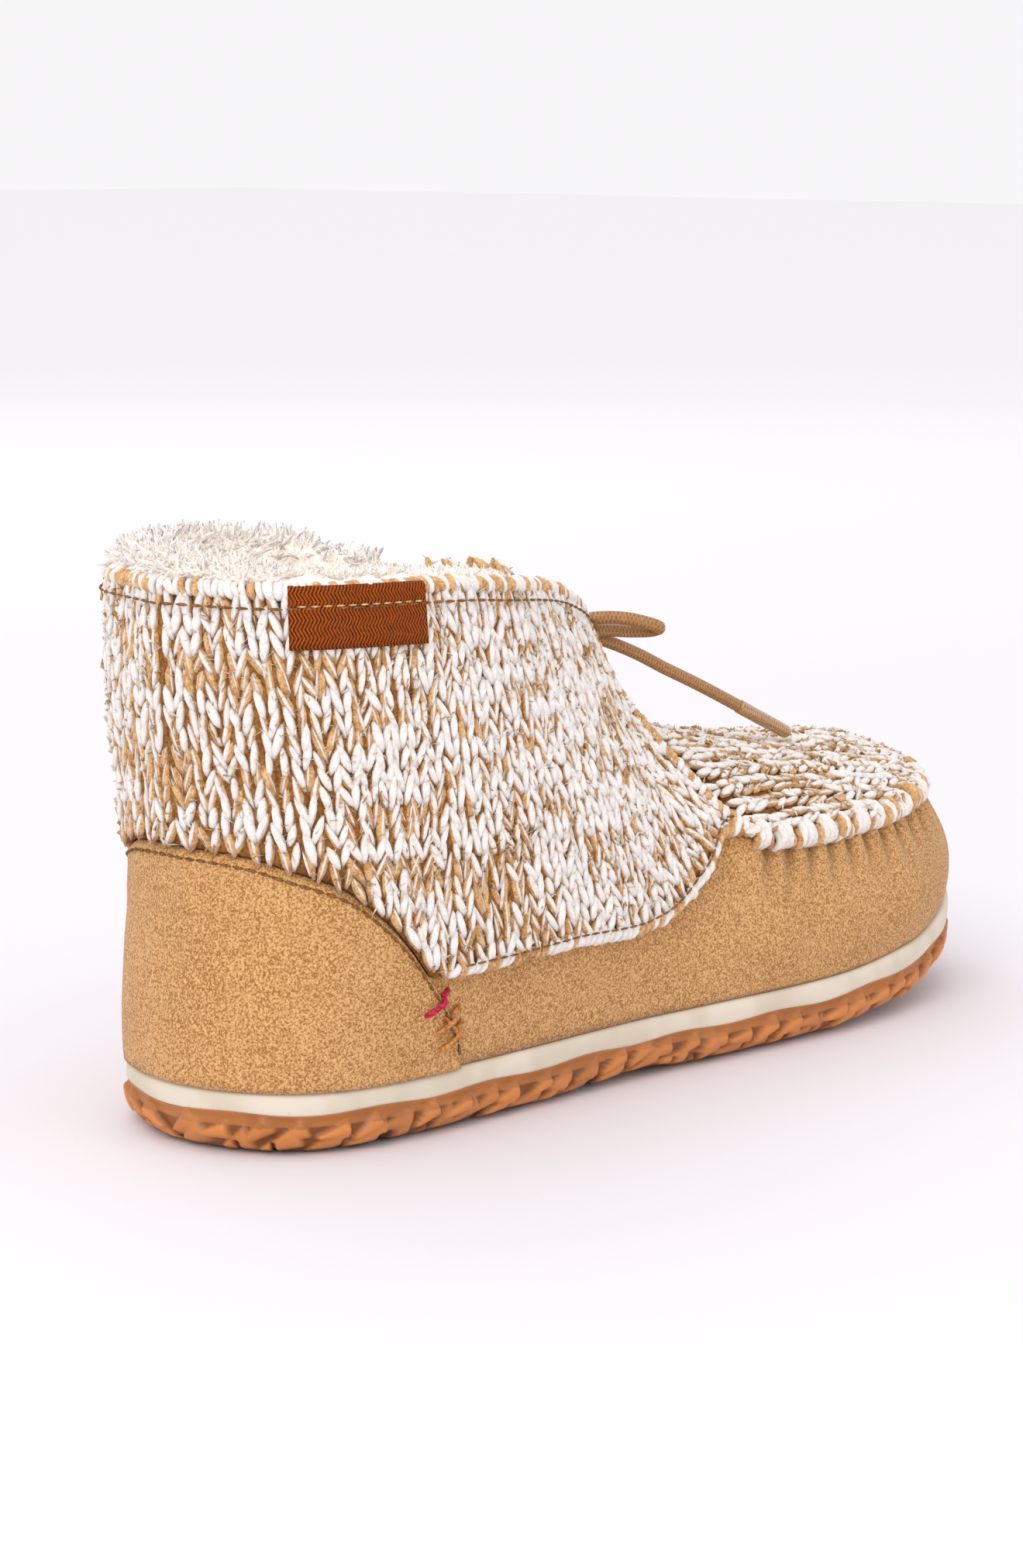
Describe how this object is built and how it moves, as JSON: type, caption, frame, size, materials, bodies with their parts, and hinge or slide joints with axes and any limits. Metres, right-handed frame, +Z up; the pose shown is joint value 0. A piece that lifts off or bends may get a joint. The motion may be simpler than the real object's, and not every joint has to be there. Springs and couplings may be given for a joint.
{
  "type": "slipper boot",
  "caption": "Right slipper boot: knit shaft and apron over a suede body, fleece lining, a laced bow and a lugged rubber sole.",
  "frame": {"origin": "on the floor, at the middle of the boot's box without the free bow", "axes": "+X towards the toe, -Y towards the lateral side, +Z up"},
  "size_m": [0.2638, 0.0902, 0.127],
  "materials": {
    "suede": "napped suede",
    "knit": "chunky two-tone knit",
    "fleece": "deep curly pile",
    "foam": "satin moulded foam",
    "gum": "translucent gum rubber",
    "cord": "waxed braid",
    "satin": "woven satin tape",
    "clear": "clear film over braid"
  },
  "bodies": {
    "root": {"outsole": "gum", "midsole": "foam", "insole": "fleece", "upper": "suede", "heel_counter": "suede", "knit_shaft": "knit", "apron": "knit", "tongue": "knit", "tongue_fleece": "fleece", "fleece_collar": "fleece", "side_label": "satin", "lace_bar": "cord", "lace_knot": "cord", "lace_loop_lateral": "cord", "lace_loop_medial": "cord", "lace_end_lateral": "cord", "lace_end_medial": "cord", "aglet_lateral": "clear", "aglet_medial": "clear"}
  },
  "joints": []
}
